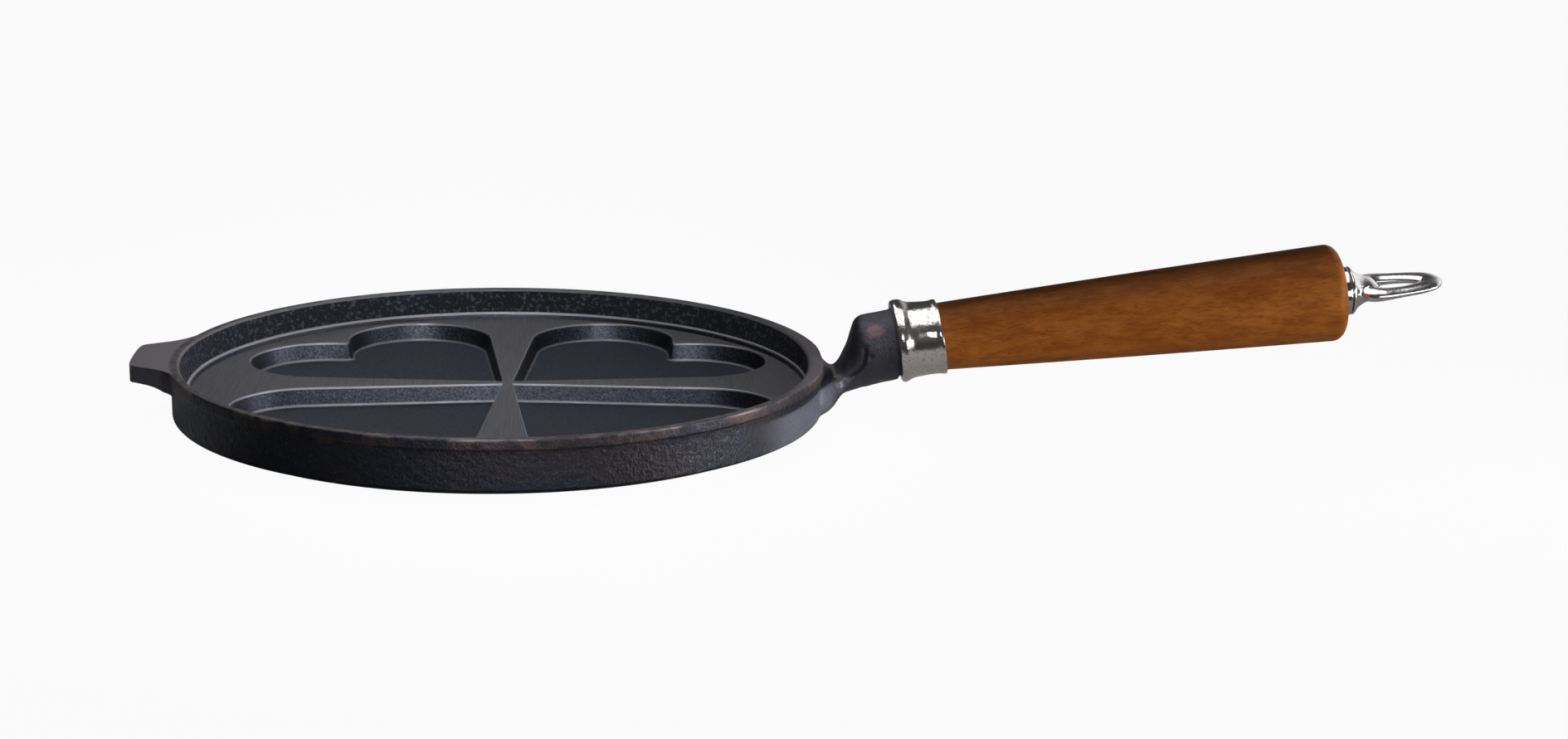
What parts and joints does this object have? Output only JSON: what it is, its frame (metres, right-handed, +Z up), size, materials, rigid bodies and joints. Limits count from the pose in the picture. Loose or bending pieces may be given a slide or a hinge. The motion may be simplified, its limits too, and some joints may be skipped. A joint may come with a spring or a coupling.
{
  "type": "heart pancake pan",
  "caption": "Round shallow cast-iron pan with heart-shaped wells, a helper tab, and a turned wooden handle with a cast ferrule and hanging loop.",
  "frame": {"origin": "centre of the flat base's underside, on the axis of the round pan", "axes": "+X along the handle, away from the pan; +Y to the back of the picture; +Z up, out of the pan's mouth"},
  "size_m": [0.4672, 0.23, 0.0606],
  "materials": {
    "cast_iron": "seasoned, as cast with machined ribs",
    "pewter_cast": "cast, speckled, half polished",
    "walnut": "satin varnish",
    "steel_rod": "plain drawn",
    "polished_steel": "polished",
    "polished_zinc": "polished die casting"
  },
  "bodies": {
    "root": {"pan_casting": "cast_iron", "ferrule": "pewter_cast", "wood_handle": "walnut", "tie_rod": "steel_rod", "end_washer": "polished_steel", "hanging_loop": "polished_zinc"}
  },
  "joints": []
}
